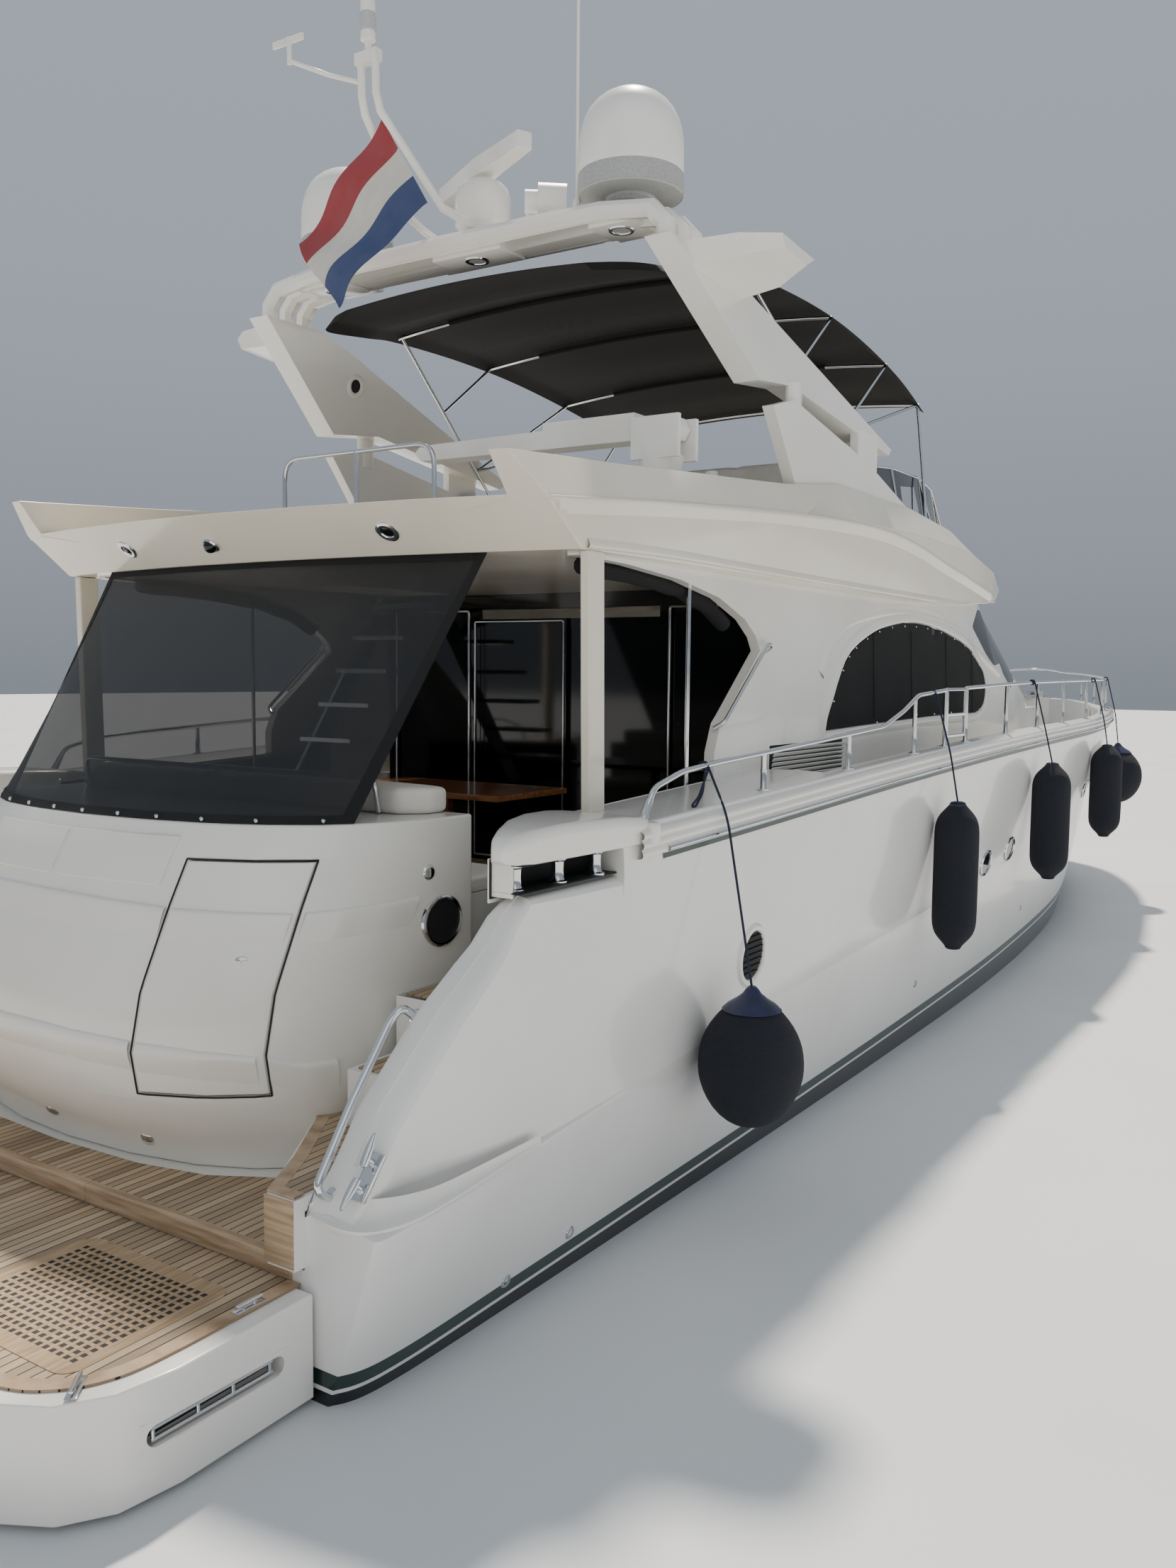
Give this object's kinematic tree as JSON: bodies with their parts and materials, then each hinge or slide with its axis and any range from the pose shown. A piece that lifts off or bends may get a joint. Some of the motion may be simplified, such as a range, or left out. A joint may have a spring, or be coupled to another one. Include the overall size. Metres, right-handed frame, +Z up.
{
  "type": "flybridge motor yacht",
  "caption": "Flybridge motor yacht with a lowering swim platform, cockpit, hollow deckhouse, radar arch, canopy, davit, guard rails, fenders, rudders and propellers.",
  "frame": {"origin": "on the centreline at the stern, on the still waterline", "axes": "+X to starboard, +Y towards the bow, +Z up"},
  "size_m": [5.7467, 21.125, 9.974],
  "materials": {
    "gelcoat": "glossy moulded gelcoat",
    "white_plastic": "satin white moulding",
    "teak": "oiled teak",
    "steel": "polished stainless steel",
    "bronze": "cast bronze",
    "dark_glass": "dark tinted glass",
    "clear_glass": "clear acrylic",
    "canvas": "black woven canvas",
    "cushion": "white marine vinyl",
    "fender_cover": "dark blue knitted cover",
    "rubber": "dark rubbing strip",
    "flag_cloth": "thin dyed cloth"
  },
  "bodies": {
    "hull": {"hull": "gelcoat", "rub_rail": "rubber", "transom_island": "gelcoat", "seat_cushion": "cushion", "back_cushion": "cushion", "cockpit_table": "teak", "flybridge": "gelcoat", "fly_stairs": "steel", "pillar_starboard": "gelcoat", "pillar_port": "gelcoat", "deckhouse": "gelcoat", "windscreen": "dark_glass", "side_window_starboard": "dark_glass", "side_window_port": "dark_glass", "saloon_frame": "steel", "saloon_fixed_leaf": "steel", "sunpad": "cushion", "windlass": "steel", "anchor": "steel", "helm_console": "gelcoat", "helm_seat": "cushion", "fly_sofa": "cushion", "fly_windscreen": "clear_glass", "arch_leg_starboard": "gelcoat", "arch_leg_port": "gelcoat", "dome_starboard": "white_plastic", "dome_port": "white_plastic", "arch_bridge": "gelcoat", "mast": "gelcoat", "horn": "gelcoat", "flag": "flag_cloth", "bimini_canopy": "canvas", "bimini_frame": "steel", "sunshade": "canvas", "side_curtain_starboard": "canvas", "side_curtain_port": "canvas", "davit_base": "white_plastic", "stowed_ball": "white_plastic", "fly_aft_rail": "steel", "guard_rail_starboard": "steel", "guard_rail_port": "steel", "bow_rail": "steel", "fender_1": "fender_cover", "fender_2": "fender_cover", "fender_3": "fender_cover", "fender_4": "fender_cover", "fender_5": "fender_cover"},
    "swim_platform": {"swim_platform": "gelcoat"},
    "transom_door": {"transom_door": "gelcoat"},
    "saloon_door": {"saloon_door": "steel"},
    "locker_hatch": {"locker_hatch": "gelcoat"},
    "radar_scanner": {"radar_scanner": "white_plastic"},
    "davit_column": {"davit_column": "white_plastic"},
    "davit_boom": {"davit_boom": "white_plastic"},
    "rail_gate_starboard": {"rail_gate_starboard": "steel"},
    "rail_gate_port": {"rail_gate_port": "steel"},
    "propeller_starboard": {"propeller_starboard": "bronze"},
    "rudder_starboard": {"rudder_starboard": "bronze"},
    "propeller_port": {"propeller_port": "bronze"},
    "rudder_port": {"rudder_port": "bronze"}
  },
  "joints": [
    {"name": "platform_lift", "type": "slide", "parent": "hull", "child": "swim_platform", "axis": [0, 0, -1], "range_m": [0, 0.5]},
    {"name": "transom_door_hinge", "type": "hinge", "parent": "hull", "child": "transom_door", "pos_m": [0.82, 0.176, 1.5], "axis": [0, 0, -1], "range_deg": [0, 100]},
    {"name": "saloon_door_slide", "type": "slide", "parent": "hull", "child": "saloon_door", "axis": [1, 0, 0], "range_m": [0, 0.85]},
    {"name": "gate_starboard_hinge", "type": "hinge", "parent": "hull", "child": "rail_gate_starboard", "pos_m": [2.545, 7.06, 2.65], "axis": [0, 0, -1], "range_deg": [0, 90]},
    {"name": "gate_port_hinge", "type": "hinge", "parent": "hull", "child": "rail_gate_port", "pos_m": [-2.545, 7.06, 2.65], "axis": [0, 0, 1], "range_deg": [0, 90]},
    {"name": "locker_hatch_hinge", "type": "hinge", "parent": "hull", "child": "locker_hatch", "pos_m": [0, 17.57, 2.18], "axis": [-1, 0, 0], "range_deg": [0, 90]},
    {"name": "radar_spin", "type": "hinge", "parent": "hull", "child": "radar_scanner", "pos_m": [0, 4.06, 6.3], "axis": [0, 0, 1], "continuous": true},
    {"name": "davit_slew", "type": "hinge", "parent": "hull", "child": "davit_column", "pos_m": [1.64, 3.56, 4.2], "axis": [0, 0, 1], "range_deg": [0, 180]},
    {"name": "davit_luff", "type": "hinge", "parent": "davit_column", "child": "davit_boom", "pos_m": [1.64, 3.56, 4.49], "axis": [0, 1, 0], "range_deg": [0, 30]},
    {"name": "propeller_starboard_spin", "type": "hinge", "parent": "hull", "child": "propeller_starboard", "pos_m": [0.85, 1.5, -1.12], "axis": [0, 1, 0], "continuous": true},
    {"name": "propeller_port_spin", "type": "hinge", "parent": "hull", "child": "propeller_port", "pos_m": [-0.85, 1.5, -1.12], "axis": [0, 1, 0], "continuous": true},
    {"name": "rudder_starboard_steer", "type": "hinge", "parent": "hull", "child": "rudder_starboard", "pos_m": [0.85, 0.62, -1], "axis": [0, 0, 1], "range_deg": [-35, 35]},
    {"name": "rudder_port_steer", "type": "hinge", "parent": "hull", "child": "rudder_port", "pos_m": [-0.85, 0.62, -1], "axis": [0, 0, 1], "range_deg": [-35, 35]}
  ],
  "couplings": [
    {"joint": "rudder_port_steer", "follows": "rudder_starboard_steer", "ratio": 1}
  ]
}
